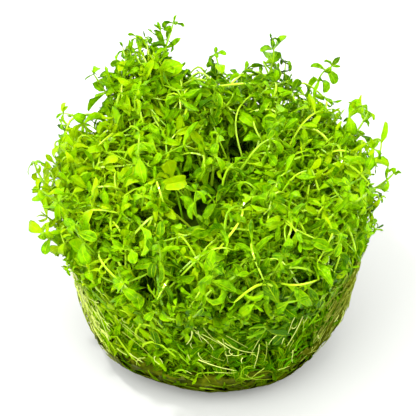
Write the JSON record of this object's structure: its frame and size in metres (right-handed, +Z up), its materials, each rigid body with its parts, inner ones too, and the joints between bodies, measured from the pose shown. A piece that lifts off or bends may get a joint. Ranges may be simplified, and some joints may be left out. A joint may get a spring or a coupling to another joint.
{
  "type": "pearlweed plant",
  "caption": "Round portion of pearlweed for planting in an aquarium: a dense thicket of fine stems and small leaves, spilling over a moulded root mat with a flat foot.",
  "frame": {"origin": "centre of the root mat's flat foot, on the surface that it stands on", "axes": "+Z up, the pictured front towards -Y"},
  "size_m": [0.0805, 0.0805, 0.0597],
  "materials": {
    "root_mat": "moist, matted, olive to pale green with fine pale roots",
    "thicket": "fresh leaf green, satin and moist, translucent against the light",
    "sprig": "bright leaf green, satin and moist, translucent against the light, stems paler"
  },
  "bodies": {
    "root": {"root_mat": "root_mat", "thicket": "thicket", "sprig_01": "sprig", "sprig_02": "sprig", "sprig_03": "sprig", "sprig_04": "sprig", "sprig_05": "sprig", "sprig_06": "sprig", "sprig_07": "sprig", "sprig_08": "sprig", "sprig_09": "sprig", "sprig_10": "sprig", "sprig_11": "sprig", "sprig_12": "sprig", "sprig_13": "sprig", "sprig_14": "sprig", "sprig_15": "sprig", "sprig_16": "sprig", "sprig_17": "sprig", "sprig_18": "sprig", "sprig_19": "sprig", "sprig_20": "sprig", "sprig_21": "sprig", "sprig_22": "sprig", "sprig_23": "sprig", "sprig_24": "sprig", "sprig_25": "sprig", "sprig_26": "sprig", "sprig_27": "sprig", "sprig_28": "sprig", "sprig_29": "sprig", "sprig_30": "sprig", "sprig_31": "sprig", "sprig_32": "sprig", "sprig_33": "sprig", "sprig_34": "sprig", "sprig_35": "sprig", "sprig_36": "sprig", "sprig_37": "sprig"}
  },
  "joints": []
}
